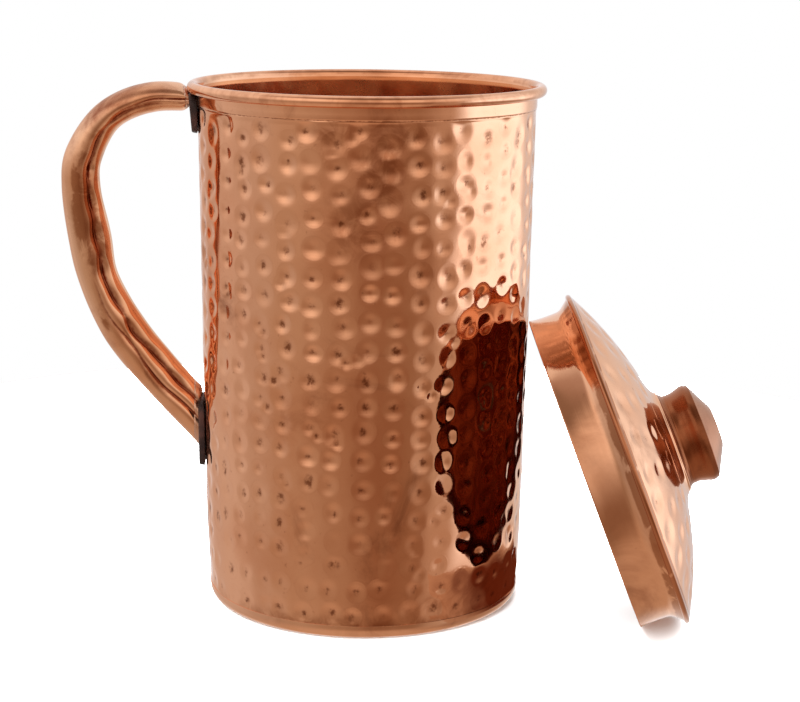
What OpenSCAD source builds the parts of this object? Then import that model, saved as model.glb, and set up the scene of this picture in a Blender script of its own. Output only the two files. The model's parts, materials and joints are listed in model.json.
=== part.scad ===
/* [Jug] */
// Height from the table to the top of the rim bead
jug_h = 180; // [160:1:220]
// Outer radius of the wall at the mouth
mouth_r = 57.8; // [54:0.1:64]
// Thickness of the jug's copper sheet
sheet = 0.7; // [0.6:0.1:0.9]
// How much the wall narrows for each millimetre below the rim
wall_taper = 0.0125; // [0.005:0.0005:0.016]
// Extra pull-in of the wall at the very foot
foot_pull = 1.65; // [0.8:0.05:2]
// Radius of the rounded corner between wall and base
foot_corner = 4; // [3:0.1:5]

/* [Rim] */
// Radius of the wire inside the rolled rim
wire_r = 1.2; // [1.0:0.05:1.4]
// Distance from the rim's top down to the scribed line
scribe_drop = 8; // [6:0.5:12]

/* [Handle] */
// Wall thickness of the folded handle tube
handle_sheet = 0.9; // [0.7:0.1:1.1]
// Width of each saddle plate round the jug
saddle_w = 22; // [20:1:28]
// Thickness of the lower saddle plate
saddle_t = 1.9; // [1.4:0.1:2.2]

/* [Lid] */
// Outer radius of the lid's skirt
skirt_r = 54.4; // [53:0.1:55.5]
// Thickness of the lid's copper sheet
lid_sheet = 0.6; // [0.5:0.05:0.7]
// Radius of the sphere that the dome is part of
dome_r = 119; // [112:1:135]
// Angle of the leaning lid's axis above the table
lean = 21.25; // [19:0.25:24]
// Distance of the leaning lid's edge ring from the jug's axis, sideways
lid_out = 75.1; // [75:0.1:82]
// Distance of the leaning lid's edge ring in front of the jug's axis
lid_front = 28; // [26:0.5:30]

/* [Knob] */
// Radius of the knob at its widest
knob_r = 16.8; // [15:0.1:18]
// Thickness of the knob's sheet
knob_sheet = 1.0; // [0.8:0.1:1.2]
// Radius of the rivet that holds the knob
rivet_r = 2.0; // [1.6:0.1:2.4]

/* [Hidden] */
$fn = 96;
seat_gap = 0.02;      // gap left where two sheets lap, filled by braze
bead_r = wire_r + seat_gap + sheet;
bead_z = jug_h - bead_r;
bead_x = mouth_r - sheet + bead_r;
curl_end = 118;       // where the curl tucks in under the bead, degrees past its outermost point
scribe_z = jug_h - scribe_drop;
scribe_deep = 0.25;
scribe_half = 0.4;
foot_z = foot_corner + 1;
lap_z = foot_z + 6;
wall_steps = 12;

upper_top = jug_h - 2 * bead_r - 0.1;
upper_bottom = jug_h - 17.5;
lower_top = jug_h - 110;
lower_bottom = jug_h - 133.7;
upper_t_top = 2.8;
upper_t_bottom = 1.4;
saddle_corner = 5;
// Handle centre line: out from the wall, down from the rim, width in its plane, width across it
HANDLE_KNOTS = [
    [-4, 6.4, 8.8, 16],
    [15, 6.0, 10.2, 15.2],
    [30, 12.3, 10.7, 14.4],
    [38.7, 25.4, 12.6, 13.4],
    [40.1, 37, 13.3, 13],
    [37.5, 54, 14.8, 12.4],
    [34.6, 69, 13.9, 12.4],
    [26, 86.5, 15.5, 12.2],
    [13.8, 102, 15.2, 12.4],
    [-6, 124, 14.4, 13]
];
handle_steps = 4;
handle_sides = 20;
braze_rings = 6;      // rings of the handle's skin that a collar of braze can span
braze_reach = 1.2;
braze_swell = 0.9;

flange_z = 10.7;
hem_x = skirt_r + 3.4;
hem_z = 15.2;
hem_r = 1.5 * lid_sheet + 2 * seat_gap;
hem_leg = 1.8;
dome_centre_z = hem_z + hem_r - sqrt(pow(dome_r, 2) - pow(hem_x, 2));
crown_z = 31.9;
boss_r = 17.1;
boss_foot_r = 23.5;
knob_top_z = 47.2;
knob_shoulder_z = 42.3;
knob_flat_r = 6.6;
// Outside of the knob from its foot to its shoulder: radius, height
KNOB_KNOTS = [
    [boss_r - 0.2, crown_z],
    [knob_r - 0.85, crown_z + 1.1],
    [knob_r - 1.25, crown_z + 3.2],
    [knob_r - 0.75, crown_z + 5.6],
    [knob_r, crown_z + 8.3],
    [knob_r - 0.6, knob_shoulder_z]
];
rivet_head_r = 2.2 * rivet_r;
rivet_head_h = 1.6;
washer_r = 6.5;
washer_t = 0.8;
lid_z = skirt_edge_r() * cos(lean) + 0.02;

COPPER = [0.80, 0.50, 0.36];
COPPER_INSIDE = [0.70, 0.38, 0.24];
DARK = [0.16, 0.10, 0.08];
BRAZE = [0.72, 0.56, 0.34];
STEEL = [0.55, 0.54, 0.52];

// Outer radius of the jug's wall at height z
function wall_r(z) = mouth_r - wall_taper * (jug_h - z) - foot_pull * exp(-z / 14);

// Radius of the skirt's slightly flared edge
function skirt_edge_r() = skirt_r + 0.4;

// Heights at which the wall's outline has a point, closer together at the foot
WALL_HEIGHTS = [for (i = [0 : wall_steps])
    foot_z + (scribe_z - scribe_half - foot_z) * pow(i / wall_steps, 1.5)];

// One point and one tangent of a Catmull-Rom curve through four knots
function curve_point(a, b, c, d, t) =
    0.5 * (2 * b + (c - a) * t + (2 * a - 5 * b + 4 * c - d) * t * t
           + (3 * b - a - 3 * c + d) * t * t * t);

// Knots with one more at each end, so that the curve reaches the first and the last
function with_ends(knots) = let (n = len(knots))
    concat([2 * knots[0] - knots[1]], knots, [2 * knots[n - 1] - knots[n - 2]]);

// The whole curve as a list of points
function smooth_line(knots, steps) = let (k = with_ends(knots), last = len(knots) - 2) concat(
    [for (i = [0 : last]) for (j = [0 : steps - 1])
        curve_point(k[i], k[i + 1], k[i + 2], k[i + 3], j / steps)],
    [knots[last + 1]]);

// Direction of a list of points at its point i, in the first two coordinates
function direction(line, i) = let (
    a = line[max(i - 1, 0)],
    b = line[min(i + 1, len(line) - 1)],
    d = [b[0] - a[0], b[1] - a[1]]
) d / norm(d);

// A strip of sheet in the section plane, with its centre on a list of points
module sheet_path(points, thick) {
    for (i = [0 : len(points) - 2]) {
        run = points[i + 1] - points[i];
        translate(points[i])
            rotate(atan2(run[1], run[0]))
                translate([0, -thick / 2])
                    square([norm(run), thick]);
    }
    for (i = [1 : 1 : len(points) - 2]) translate(points[i]) circle(d = thick);
}

// Section of the wall between the base and the rim, with the scribed line cut in
module wall_section() {
    outside = concat(
        [for (z = WALL_HEIGHTS) [wall_r(z), z]],
        [[wall_r(scribe_z) - scribe_deep, scribe_z],
         [wall_r(scribe_z + scribe_half), scribe_z + scribe_half],
         [mouth_r, bead_z]]);
    inside = concat(
        [[mouth_r - sheet, bead_z]],
        [for (i = [wall_steps : -1 : 0]) [wall_r(WALL_HEIGHTS[i]) - sheet, WALL_HEIGHTS[i]]]);
    polygon(concat(outside, inside));
}

// Section of the curl round the rim wire: a ring with its lower inner part left open
module curl_section() {
    gap_r = 2 * bead_r;
    difference() {
        circle(r = bead_r);
        circle(r = wire_r + seat_gap);
        polygon([[0, 0], gap_r * [-cos(180 - curl_end), -sin(180 - curl_end)], [-gap_r, -gap_r], [-gap_r, 0]]);
    }
}

module jug_wall() {
    color(COPPER) rotate_extrude() {
        wall_section();
        translate([bead_x, bead_z]) curl_section();
    }
}

module rim_wire() {
    color(STEEL) rotate_extrude() translate([bead_x, bead_z]) circle(r = wire_r);
}

// Flat-bottomed pan whose edge turns up and steps inside the wall
module base_pan() {
    pan_r = wall_r(foot_z);
    lap_low = wall_r(foot_z) - sheet - seat_gap;
    lap_high = wall_r(lap_z) - sheet - seat_gap;
    color(COPPER) rotate_extrude() {
        square([pan_r - foot_corner, sheet]);
        translate([pan_r - foot_corner, foot_corner]) intersection() {
            difference() {
                circle(r = foot_corner);
                circle(r = foot_corner - sheet);
            }
            translate([0, -foot_corner]) square(foot_corner);
        }
        polygon([
            [pan_r - sheet, foot_corner], [pan_r, foot_corner], [pan_r, foot_z - seat_gap],
            [lap_low, foot_z - seat_gap], [lap_high, lap_z], [lap_high - sheet, lap_z],
            [lap_low - sheet, foot_z]
        ]);
    }
}

// Ring of braze in the corner above the pan's edge
module base_braze() {
    inner_r = wall_r(lap_z) - sheet - seat_gap;
    color(BRAZE) rotate_extrude()
        polygon([[inner_r - sheet, lap_z], [inner_r, lap_z], [inner_r, lap_z + 1.2]]);
}

// Solid inside the wall's outer surface, used to shape what is fixed to the wall
module wall_core() {
    rotate_extrude() polygon(concat(
        [[0, 0], [wall_r(foot_z), 0]],
        [for (z = WALL_HEIGHTS) [wall_r(z), z]],
        [[mouth_r, jug_h], [0, jug_h]]));
}

// Solid inside the outer surface of the saddle plates and the bead
module saddle_core() {
    rotate_extrude() polygon([
        [0, 0], [wall_r(lower_bottom) + saddle_t, 0],
        [wall_r(lower_top) + saddle_t, lower_top + 20],
        [wall_r(upper_bottom) + upper_t_bottom, upper_bottom - 20],
        [wall_r(upper_bottom) + upper_t_bottom, upper_bottom],
        [wall_r(upper_top) + upper_t_top, upper_top],
        [bead_x, upper_top], [bead_x, jug_h], [0, jug_h]]);
    rotate_extrude() translate([bead_x, bead_z]) circle(r = bead_r);
}

// Outline of a saddle plate as seen from the handle's side, from bottom to top
module saddle_outline(bottom, top) {
    height = top - bottom;
    translate([-saddle_w / 2, bottom + saddle_corner]) square([saddle_w, height - 2 * saddle_corner]);
    translate([saddle_corner - saddle_w / 2, bottom]) square([saddle_w - 2 * saddle_corner, height]);
    for (side = [-1, 1]) for (z = [bottom + saddle_corner, top - saddle_corner])
        translate([side * (saddle_w / 2 - saddle_corner), z]) circle(r = saddle_corner);
}

// A plate curved to the wall, on the handle's side of the jug
module saddle_plate(bottom, top) {
    difference() {
        intersection() {
            rotate([90, 0, -90]) linear_extrude(2 * mouth_r) saddle_outline(bottom, top);
            saddle_core();
        }
        wall_core();
    }
}

module upper_saddle() {
    color(DARK) saddle_plate(upper_bottom, upper_top);
}

module lower_saddle() {
    color(DARK) saddle_plate(lower_bottom, lower_top);
}

// Handle centre line in the row's own x and z, with its two widths
HANDLE_LINE = [for (k = smooth_line(HANDLE_KNOTS, handle_steps))
    [-mouth_r - k[0], jug_h - k[1], k[2], k[3]]];

// One ring of the handle's skin, grown outwards by a distance
function handle_ring(i, grow) = let (
    at = HANDLE_LINE[i],
    run = direction(HANDLE_LINE, i),
    in_plane = at[2] / 2 + grow,
    across = at[3] / 2 + grow
) [for (j = [0 : handle_sides - 1]) let (turn = 360 * j / handle_sides)
    [at[0] - run[1] * in_plane * cos(turn), across * sin(turn), at[1] + run[0] * in_plane * cos(turn)]];

// Closed solid of the handle's skin between two of its rings
module handle_solid(grow, first = 0, last = len(HANDLE_LINE) - 1) {
    points = [for (i = [first : last]) each handle_ring(i, grow)];
    sides = [for (i = [0 : last - first - 1]) for (j = [0 : handle_sides - 1]) let (
        next = (j + 1) % handle_sides,
        low = i * handle_sides,
        high = low + handle_sides
    ) [low + j, low + next, high + next, high + j]];
    start_cap = [for (j = [handle_sides - 1 : -1 : 0]) j];
    end_cap = [for (j = [0 : handle_sides - 1]) (last - first) * handle_sides + j];
    polyhedron(points, concat([start_cap, end_cap], sides), convexity = 6);
}

module handle_tube() {
    color(COPPER) difference() {
        handle_solid(0);
        handle_solid(-handle_sheet);
        saddle_core();
    }
}

// Collar of braze round one end of the handle, as far out as the reach from the plate's face
module handle_braze(first, last, face_r, top) {
    difference() {
        intersection() {
            handle_solid(braze_swell, first, last);
            cylinder(r = face_r + braze_reach, h = top);
        }
        handle_solid(0, first, last);
        saddle_core();
    }
}

module upper_handle_braze() {
    color(BRAZE) handle_braze(0, braze_rings, wall_r(upper_top) + upper_t_top, upper_top);
}

module lower_handle_braze() {
    rings = len(HANDLE_LINE);
    color(BRAZE) handle_braze(rings - 1 - braze_rings, rings - 1, wall_r(lower_top) + saddle_t, jug_h / 2);
}

// Where the loose lid leans: its own axis tilted, its edge on the table
module leaning_lid() {
    translate([lid_out, -lid_front, lid_z]) rotate([0, 90 - lean, 0]) children();
}

// Section of the ring whose flange the dome is folded over
module skirt_section() {
    mid_r = skirt_r - lid_sheet / 2;
    sheet_path([
        [mid_r + 0.4, 0], [mid_r + 0.1, 3], [mid_r, 6], [mid_r, flange_z], [hem_x, hem_z]
    ], lid_sheet);
}

// Section of the folded edge: a half ring and the leg that runs back under the flange
module hem_section() {
    slope = atan2(hem_z - flange_z, hem_x - skirt_r + lid_sheet / 2);
    translate([hem_x, hem_z]) {
        difference() {
            circle(r = hem_r);
            circle(r = hem_r - lid_sheet);
            for (turn = [90, slope + 90, slope + 180]) rotate(turn) square(3 * hem_r);
        }
        rotate(slope) translate([-hem_leg, -hem_r]) square([hem_leg, lid_sheet]);
    }
}

// Section of the dome from the folded edge to the raised seat of the knob
module dome_section() {
    seat_foot_z = dome_centre_z + sqrt(pow(dome_r, 2) - pow(boss_foot_r, 2));
    intersection() {
        translate([0, dome_centre_z]) difference() {
            circle(r = dome_r, $fn = 360);
            circle(r = dome_r - lid_sheet, $fn = 360);
        }
        translate([boss_foot_r, hem_z]) square([hem_x - boss_foot_r, crown_z]);
    }
    sheet_path([
        [boss_foot_r, seat_foot_z - lid_sheet / 2], [boss_r + 3, crown_z - 2.5], [boss_r + 0.9, crown_z - 1.4],
        [boss_r - 0.4, crown_z - lid_sheet / 2], [rivet_r + seat_gap, crown_z - lid_sheet / 2]
    ], lid_sheet);
}

module lid_dome() {
    color(COPPER) leaning_lid() rotate_extrude() {
        dome_section();
        hem_section();
    }
}

module lid_skirt() {
    color(COPPER) leaning_lid() rotate_extrude() skirt_section();
}

// Ring of braze in the narrow corner between the flange and the dome
module lid_braze() {
    corner_r = hem_x - 0.6;
    open_r = hem_x - 2.2;
    slope = (hem_z - flange_z) / (hem_x - skirt_r + lid_sheet / 2);
    function flange_top(r) = hem_z - (hem_x - r) * slope + lid_sheet / 2 * sqrt(1 + slope * slope);
    function dome_under(r) = dome_centre_z + sqrt(pow(dome_r - lid_sheet, 2) - pow(r, 2));
    color(BRAZE) leaning_lid() rotate_extrude() polygon([
        [corner_r, flange_top(corner_r)], [corner_r, dome_under(corner_r)],
        [open_r, dome_under(open_r)], [open_r, flange_top(open_r)]]);
}

// Hollow knob with a floor that sits on the dome
module knob_shell() {
    outside = smooth_line(KNOB_KNOTS, 4);
    inside = [for (i = [len(outside) - 1 : -1 : 0]) [outside[i][0] - knob_sheet, outside[i][1]]];
    color(COPPER) leaning_lid() rotate_extrude() {
        polygon(concat(outside, inside));
        translate([rivet_r + seat_gap, crown_z])
            square([boss_r - knob_sheet - rivet_r - seat_gap, knob_sheet]);
    }
}

// Cap that closes the knob: a cone with a flat top and a rim inside the shell
module knob_cap() {
    edge_r = knob_r - 0.6;
    rim_r = edge_r - knob_sheet - seat_gap;
    under_z = knob_top_z - 1.2 * knob_sheet;
    color(COPPER) leaning_lid() rotate_extrude() polygon([
        [0, knob_top_z], [knob_flat_r, knob_top_z], [edge_r, knob_shoulder_z],
        [rim_r, knob_shoulder_z], [rim_r, knob_shoulder_z - 2],
        [rim_r - knob_sheet, knob_shoulder_z - 2], [rim_r - knob_sheet, knob_shoulder_z],
        [knob_flat_r, under_z], [0, under_z]]);
}

// Rivet: head inside the knob, shank through knob and dome, peened under the washer
module knob_rivet() {
    head_z = crown_z + knob_sheet;
    tail_z = crown_z - lid_sheet - washer_t;
    color(STEEL) leaning_lid() {
        translate([0, 0, head_z]) cylinder(r = rivet_head_r, h = rivet_head_h);
        translate([0, 0, tail_z]) cylinder(r = rivet_r, h = head_z - tail_z);
        translate([0, 0, tail_z - rivet_head_h])
            cylinder(r1 = 0.5 * rivet_head_r, r2 = rivet_head_r, h = rivet_head_h);
    }
}

module knob_washer() {
    color(STEEL) leaning_lid() translate([0, 0, crown_z - lid_sheet - washer_t]) difference() {
        cylinder(r = washer_r, h = washer_t);
        translate([0, 0, -1]) cylinder(r = rivet_r + seat_gap, h = washer_t + 2);
    }
}

jug_wall();
rim_wire();
base_pan();
base_braze();
handle_tube();
upper_saddle();
lower_saddle();
upper_handle_braze();
lower_handle_braze();
lid_dome();
lid_skirt();
lid_braze();
knob_shell();
knob_cap();
knob_rivet();
knob_washer();
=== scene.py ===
"""Hammered copper water jug with its lid leaning beside it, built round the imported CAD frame."""
import json
import math

import bpy
import numpy as np
from mathutils import Matrix, Vector


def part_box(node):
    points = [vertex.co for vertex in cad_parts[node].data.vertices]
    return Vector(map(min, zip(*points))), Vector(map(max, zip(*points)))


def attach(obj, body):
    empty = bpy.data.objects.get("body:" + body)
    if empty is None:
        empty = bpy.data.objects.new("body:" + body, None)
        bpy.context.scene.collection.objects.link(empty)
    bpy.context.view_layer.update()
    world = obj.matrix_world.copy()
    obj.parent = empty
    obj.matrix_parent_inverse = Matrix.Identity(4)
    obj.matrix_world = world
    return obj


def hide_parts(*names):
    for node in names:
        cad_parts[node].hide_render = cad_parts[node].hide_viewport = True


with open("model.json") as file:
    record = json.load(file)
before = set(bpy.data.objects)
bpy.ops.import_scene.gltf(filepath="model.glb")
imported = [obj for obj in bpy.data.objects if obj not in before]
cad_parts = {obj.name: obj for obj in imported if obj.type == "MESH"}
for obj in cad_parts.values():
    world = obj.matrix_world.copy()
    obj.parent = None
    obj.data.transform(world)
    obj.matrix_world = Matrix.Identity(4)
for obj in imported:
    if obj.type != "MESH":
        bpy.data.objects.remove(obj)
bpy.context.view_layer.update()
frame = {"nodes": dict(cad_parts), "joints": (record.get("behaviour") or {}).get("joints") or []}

MM = 0.001
rng = np.random.default_rng(7)


# ---- sizes read from the frame

def node_points(node):
    """Vertices of a CAD node at rest, in metres."""
    return np.array([v.co for v in frame["nodes"][node].data.vertices], float)


WALL_LOW, WALL_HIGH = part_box("jug_wall")
JUG_H = WALL_HIGH.z
FOOT_Z = WALL_LOW.z
RIM_R = WALL_HIGH.y
SHEET = 0.7 * MM
LID_SHEET = 0.6 * MM
WIRE_LOW, WIRE_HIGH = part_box("rim_wire")
WIRE_R = (WIRE_HIGH.z - WIRE_LOW.z) / 2
BEAD_Z = (WIRE_HIGH.z + WIRE_LOW.z) / 2
BEAD_X = WIRE_HIGH.y - WIRE_R
BEAD_R = RIM_R - BEAD_X
MOUTH_R = BEAD_X - BEAD_R + SHEET
SCRIBE_Z = JUG_H - 8 * MM
LIFT = next(j for j in frame["joints"] if j["name"] == "lid_lift")
LID_AXIS = Vector(LIFT["axis"]).normalized()
WALL_TAPER = 0.0125
FOOT_PULL = 1.65 * MM
FOOT_PULL_RISE = 14 * MM


def wall_radius(z):
    """Outer radius of the jug's wall at height z, the same curve as in CAD."""
    return MOUTH_R - WALL_TAPER * (JUG_H - z) - FOOT_PULL * np.exp(-z / FOOT_PULL_RISE)


def lid_frame():
    """Matrix from the lid's own frame, with its axis as +Z and its edge ring at z = 0, to the scene."""
    turn = Vector((0, 0, 1)).rotation_difference(LID_AXIS).to_matrix()
    local = node_points("lid_skirt") @ np.array(turn)
    low = local.min(0)
    high = local.max(0)
    centre = Vector(((low[0] + high[0]) / 2, (low[1] + high[1]) / 2, low[2]))
    return Matrix.Translation(turn @ centre) @ turn.to_4x4()


LID = lid_frame()


# ---- mesh helpers

def turn_gap(angle, other):
    """How far one angle lies from another round the axis, from -pi to pi."""
    return (angle - other + math.pi) % (2 * math.pi) - math.pi


def new_object(name, points, faces, material, smooth=True):
    """A mesh object from vertices and faces."""
    mesh = bpy.data.meshes.new(name)
    mesh.from_pydata([tuple(p) for p in points], [], [tuple(f) for f in faces])
    mesh.materials.append(material)
    mesh.polygons.foreach_set("use_smooth", [smooth] * len(mesh.polygons))
    mesh.update()
    piece = bpy.data.objects.new(name, mesh)
    bpy.context.scene.collection.objects.link(piece)
    return piece


def grid_faces(rows, columns, close_rows, close_columns):
    """Quads of a grid of points, which may close on itself either way."""
    r = np.arange(rows if close_rows else rows - 1)
    c = np.arange(columns if close_columns else columns - 1)
    rr, cc = np.meshgrid(r, c, indexing="ij")
    up = (rr + 1) % rows
    right = (cc + 1) % columns
    quads = np.stack([rr * columns + cc, rr * columns + right, up * columns + right, up * columns + cc], -1)
    return quads.reshape(-1, 4)


def add_lathe_attribute(piece, along, around):
    """Stores, for each vertex, how far it is along the section and round the piece, in metres."""
    layer = piece.data.attributes.new("lathe", "FLOAT_VECTOR", "POINT")
    values = np.stack([along, around, np.zeros_like(along)], -1).astype(np.float32)
    layer.data.foreach_set("vector", values.ravel())


def section_lengths(section):
    """Distance from the first point of a closed section to each of its points."""
    steps = np.linalg.norm(np.diff(section, axis=0), axis=1)
    return np.concatenate([[0.0], np.cumsum(steps)])


def revolve(name, section, columns, material, push=None, inner=None, inner_rows=()):
    """Closed solid of revolution. push(theta, points) gives how far each point moves out and up.
    The bands that start at inner_rows get the inner material."""
    section = np.array(section, float)
    theta = np.linspace(0, 2 * math.pi, columns, endpoint=False)
    r = np.repeat(section[:, :1], columns, 1)
    z = np.repeat(section[:, 1:], columns, 1)
    if push is not None:
        dr, dz = push(theta, section)
        r = r + dr
        z = z + dz
    points = np.stack([r * np.cos(theta), r * np.sin(theta), z], -1).reshape(-1, 3)
    faces = grid_faces(len(section), columns, True, True)
    piece = new_object(name, points, faces, material)
    along = np.repeat(section_lengths(section), columns)
    around = np.tile(theta, len(section)) * np.repeat(np.maximum(section[:, 0], MM), columns)
    add_lathe_attribute(piece, along, around)
    if inner is not None:
        piece.data.materials.append(inner)
        rows = np.arange(len(faces)) // columns
        piece.data.polygons.foreach_set("material_index", np.isin(rows, inner_rows).astype(np.int32))
    return piece


def arc(centre, radius, start, end, count):
    """Points on an arc in a section plane, angles in degrees from +r towards +z."""
    angles = np.radians(np.linspace(start, end, count))
    return [(centre[0] + radius * math.cos(a), centre[1] + radius * math.sin(a)) for a in angles]


def line(start, end, count):
    """Points from start to end, without the last."""
    return [tuple(np.array(start) + (np.array(end) - np.array(start)) * i / count) for i in range(count)]


def smooth_curve(knots, steps):
    """Catmull-Rom curve through knots of any dimension."""
    k = np.array(knots, float)
    k = np.vstack([2 * k[0] - k[1], k, 2 * k[-1] - k[-2]])
    points = []
    for i in range(1, len(k) - 2):
        a, b, c, d = k[i - 1:i + 3]
        for t in np.arange(steps) / steps:
            points.append(0.5 * (2 * b + (c - a) * t + (2 * a - 5 * b + 4 * c - d) * t ** 2
                                 + (3 * b - a - 3 * c + d) * t ** 3))
    points.append(k[-2])
    return np.array(points)


# ---- hammer marks

BOWL_CURVE = 1.7
TIP_REACH = 0.5     # share of the dent's size that its sharp tip takes up
HEAVE_REACH = 1.5   # how far the metal heaved up round a dent spreads, in dent sizes
STRIKE_LEAN = 0.38  # how much deeper a dent is towards its lower side


def dent_shape(rho, tip):
    """Depth of a dent, from 1 at its centre to 0 at its edge, with a sharper tip where the punch struck."""
    inside = np.clip(1 - rho ** 2, 0, None)
    return (1 - tip) * inside ** BOWL_CURVE + tip * np.clip(1 - rho / TIP_REACH, 0, None) ** 2


def stamp_dents(depth, theta, height, radius, dents):
    """Adds dents (angle, height, size, depth, tip, stretch, heave) to depths over theta and height."""
    heaved = np.zeros_like(depth)
    for angle, at, size, deep, tip, stretch, heave in dents:
        reach = 3.2 * size  # past this, neither the dent nor its heave shows
        rows = np.nonzero(np.abs(height - at) < reach)[0]
        gap = turn_gap(theta, angle)
        columns = np.nonzero(np.abs(gap) * radius < reach)[0]
        u = gap[columns][None, :] * radius / size
        v = (height[rows][:, None] - at) / (size * stretch)
        rho = np.sqrt(u ** 2 + v ** 2)
        patch = np.ix_(rows, columns)
        bowl = deep * dent_shape(rho, tip) * (1 - STRIKE_LEAN * v.clip(-1, 1))
        depth[patch] = np.maximum(depth[patch], bowl)
        heaved[patch] += heave * np.exp(-(rho / HEAVE_REACH) ** 2)
    depth += heaved - heaved.min()


def dent_residue(theta, height, radius, dents):
    """Dark residue left in the middle of each dent, over a grid of angle and height."""
    local = np.random.default_rng(31)
    residue = np.zeros((len(height), len(theta)))
    for angle, at, size, *_ in dents:
        strength = local.choice([0.0, 0.4, 0.7, 1.0], p=[0.1, 0.2, 0.35, 0.35])
        spot = size * local.uniform(0.22, 0.44)
        stretch = local.uniform(0.7, 1.5)
        gap = turn_gap(theta - angle, local.normal(0, 0.4 * MM) / MOUTH_R)
        u = gap[None, :] * np.broadcast_to(radius, len(height))[:, None] / spot
        v = (height[:, None] - at - local.normal(0, 0.3 * MM)) / (spot * stretch)
        residue = np.maximum(residue, strength * np.exp(-(u ** 2 + v ** 2)))
    return residue


def dent_nearness(theta, height, radius, dents):
    """2 at the centre of a dent, 1 on its rim, 0 well outside, over a grid of angle and height."""
    near = np.zeros((len(height), len(theta)))
    for angle, at, size, _, _, stretch, _ in dents:
        gap = turn_gap(theta, angle)
        u = gap[None, :] * np.broadcast_to(radius, len(height))[:, None] / size
        v = (height[:, None] - at) / (size * stretch)
        near = np.maximum(near, 2 - np.sqrt(u ** 2 + v ** 2))
    return near


def add_wear_and_shade(piece, residue, cloud_and_shade, near):
    """Stores residue, tarnish cloud with painted shade, and nearness of a dent on each vertex, for the
    materials to use.
    """
    values = np.zeros((len(piece.data.vertices), 3), np.float32)
    for channel, grid in enumerate((residue, cloud_and_shade, near)):
        values[:grid.size, channel] = grid.ravel()
    layer = piece.data.attributes.new("wear_and_shade", "FLOAT_VECTOR", "POINT")
    layer.data.foreach_set("vector", values.ravel())


def wall_dents():
    """Dents of the jug's wall in wandering columns, shallower low down. Each second column starts lower."""
    columns = 40
    step = 8.85 * MM
    wander = 2.0 * MM
    top = SCRIBE_Z - 2.6 * MM
    low_rows = [FOOT_Z + 4 * MM, FOOT_Z + 12.6 * MM]
    low_strength = 0.58
    struck_twice = 0.16
    found = []

    def add_dent(column, z, strength):
        share = column / columns
        drift = wander * math.sin(2 * math.pi * (2 * share + 0.3) + 26 * z) + rng.normal(0, 0.75 * MM)
        size = rng.uniform(3.4, 4.6) * MM
        deep = rng.uniform(0.45, 0.78) * MM * strength
        angle = 2 * math.pi * share + drift / MOUTH_R
        tip = rng.uniform(0.03, 0.22)
        stretch = rng.uniform(0.86, 1.16)
        heave = rng.normal(0, 0.06 * MM)
        found.append((angle, z, size, deep, tip, stretch, heave))
        if rng.random() < struck_twice and z > low_rows[1]:
            aside = rng.uniform(-3.6, 3.6) * MM
            found.append((angle + aside / MOUTH_R, z - 2.6 * MM, 0.75 * size, 0.8 * deep, 0.1, 1.0, 0.0))

    for column in range(columns):
        z = top - (column % 2) * step * 0.42 - abs(rng.normal(0, 1.2 * MM))
        while z > low_rows[1] + 0.8 * step:
            risen = min(max((z - 35 * MM) / (30 * MM), 0), 1)
            add_dent(column, z, 0.62 + 0.38 * risen)
            z -= step * rng.uniform(0.84, 1.14)
        for low in low_rows:
            add_dent(column, low + rng.normal(0, 0.4 * MM), low_strength)
    return found


def waviness(theta, height, amplitude, seed):
    """Slow uneven swelling left by planishing, periodic round the axis."""
    waves = 14
    local = np.random.default_rng(seed)
    total = np.zeros((len(height), len(theta)))
    for _ in range(waves):
        turns = local.integers(3, 26)
        rise = local.uniform(-260, 260)
        phase = local.uniform(0, 2 * math.pi)
        total += np.cos(turns * theta[None, :] + rise * height[:, None] + phase)
    return amplitude * total / math.sqrt(waves)


# ---- materials

def shader_nodes(name):
    """An empty node material with its Principled shader."""
    material = bpy.data.materials.new(name)
    material.use_nodes = True
    return material, material.node_tree.nodes, material.node_tree.links


def noise(nodes, links, vector, scale, detail, roughness=0.55, distortion=0.0):
    """Noise texture on a vector socket; returns its factor."""
    n = nodes.new("ShaderNodeTexNoise")
    n.inputs["Scale"].default_value = scale
    n.inputs["Detail"].default_value = detail
    n.inputs["Roughness"].default_value = roughness
    n.inputs["Distortion"].default_value = distortion
    links.new(vector, n.inputs["Vector"])
    return n.outputs["Fac"]


def remap(nodes, links, value, low, high, to_low, to_high):
    """Smooth clamped remap of a value."""
    n = nodes.new("ShaderNodeMapRange")
    n.interpolation_type = "SMOOTHSTEP"
    n.inputs["From Min"].default_value = low
    n.inputs["From Max"].default_value = high
    n.inputs["To Min"].default_value = to_low
    n.inputs["To Max"].default_value = to_high
    links.new(value, n.inputs["Value"])
    return n.outputs["Result"]


def blend_colour(nodes, links, factor, a, b):
    """Mix of two colours, each a socket or a tuple."""
    n = nodes.new("ShaderNodeMix")
    n.data_type = "RGBA"
    links.new(factor, n.inputs["Factor"])
    for socket, colour in (("A", a), ("B", b)):
        target = next(i for i in n.inputs if i.name == socket and i.type == "RGBA")
        if isinstance(colour, tuple):
            target.default_value = (*colour, 1)
        else:
            links.new(colour, target)
    return next(o for o in n.outputs if o.type == "RGBA")


def add(nodes, links, a, b, operation="ADD"):
    """Sum, or another operation, of two values, the second a socket or a number."""
    n = nodes.new("ShaderNodeMath")
    n.operation = operation
    links.new(a, n.inputs[0])
    if isinstance(b, (int, float)):
        n.inputs[1].default_value = b
    else:
        links.new(b, n.inputs[1])
    return n.outputs[0]


def times(nodes, links, a, b):
    """Product of two values, the second a socket or a number."""
    return add(nodes, links, a, b, "MULTIPLY")


def stretched(nodes, links, source, scale):
    """A vector socket multiplied by a scale."""
    n = nodes.new("ShaderNodeMapping")
    n.inputs["Scale"].default_value = scale
    links.new(source, n.inputs["Vector"])
    return n.outputs["Vector"]


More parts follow.
